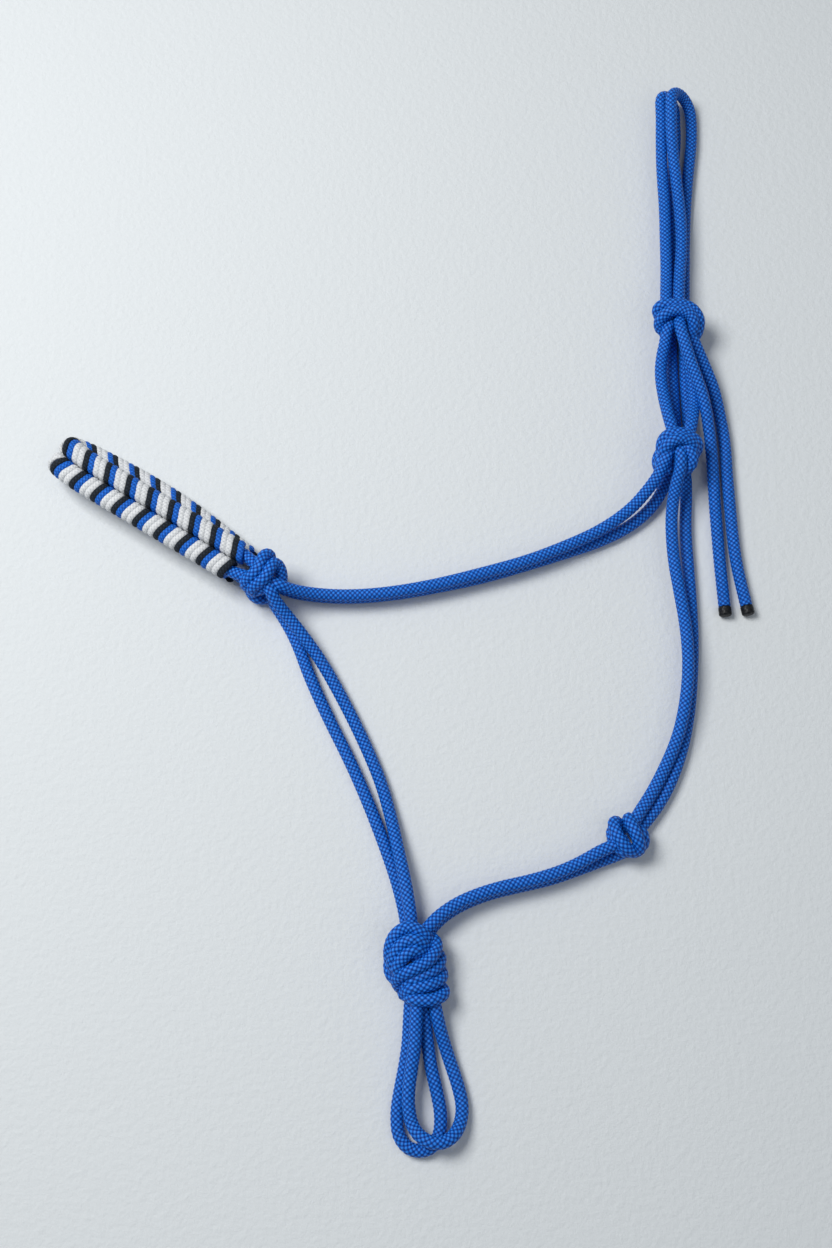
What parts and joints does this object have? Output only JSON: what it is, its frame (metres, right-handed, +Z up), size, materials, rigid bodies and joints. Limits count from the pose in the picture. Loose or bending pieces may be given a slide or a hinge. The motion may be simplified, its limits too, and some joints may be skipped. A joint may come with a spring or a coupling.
{
  "type": "rope head halter",
  "caption": "Knotted rope head halter laid flat and folded in half: laced noseband, knotted face loop, crown with tie and free tails, lead loops under a fiador knot.",
  "frame": {"origin": "centre of the laid-out halter's box, on the surface it lies on", "axes": "+Z up from the surface, +Y from the lead loops towards the poll, +X from the noseband towards the crown"},
  "size_m": [0.3398, 0.5316, 0.028],
  "materials": {
    "blue_rope": "satin braid",
    "blue_lace": "matte braid",
    "white_lace": "matte braid",
    "black_lace": "matte braid",
    "black_dip": "satin"
  },
  "bodies": {
    "face_loop": {"nose_knot_near": "blue_rope", "nose_knot_far": "blue_rope", "cheek_cord_near": "blue_rope", "cheek_cord_far": "blue_rope", "chin_cord_near": "blue_rope", "chin_cord_far": "blue_rope", "fiador_knot": "blue_rope", "throat_lower_near": "blue_rope", "throat_lower_far": "blue_rope", "jaw_knot": "blue_rope", "throat_upper_near": "blue_rope", "throat_upper_far": "blue_rope", "cheek_knot_near": "blue_rope", "cheek_knot_far": "blue_rope"},
    "noseband": {"noseband_core_upper": "blue_rope", "noseband_core_lower": "blue_rope", "noseband_lace_white_a": "white_lace", "noseband_lace_white_b": "white_lace", "noseband_lace_black": "black_lace", "noseband_lace_blue": "blue_lace"},
    "crown": {"tie_loop_leg_left": "blue_rope", "tie_loop_leg_right": "blue_rope", "poll_cord_left": "blue_rope", "poll_cord_right": "blue_rope", "crown_tie_knot": "blue_rope"},
    "left_tail": {"tie_tail_left": "blue_rope", "tail_tip_left": "black_dip"},
    "right_tail": {"tie_tail_right": "blue_rope", "tail_tip_right": "black_dip"},
    "lead_loops": {"lead_loop_left": "blue_rope", "lead_loop_right": "blue_rope"}
  },
  "joints": [
    {"name": "noseband_swing", "type": "hinge", "parent": "face_loop", "child": "noseband", "pos_m": [-0.0645, -0.0065, 0], "axis": [0, 0, 1], "range_deg": [-15, 15]},
    {"name": "crown_swing", "type": "hinge", "parent": "face_loop", "child": "crown", "pos_m": [0.1345, 0.0565, 0], "axis": [0, 0, 1], "range_deg": [0, 20]},
    {"name": "left_tail_swing", "type": "hinge", "parent": "crown", "child": "left_tail", "pos_m": [0.1385, 0.1285, 0], "axis": [0, 0, 1], "range_deg": [0, 30]},
    {"name": "right_tail_swing", "type": "hinge", "parent": "left_tail", "child": "right_tail", "pos_m": [0.1385, 0.1285, 0], "axis": [0, 0, 1], "range_deg": [0, 30]},
    {"name": "lead_loop_swing", "type": "hinge", "parent": "face_loop", "child": "lead_loops", "pos_m": [0.0085, -0.1905, 0], "axis": [0, 0, 1], "range_deg": [-25, 25]}
  ]
}
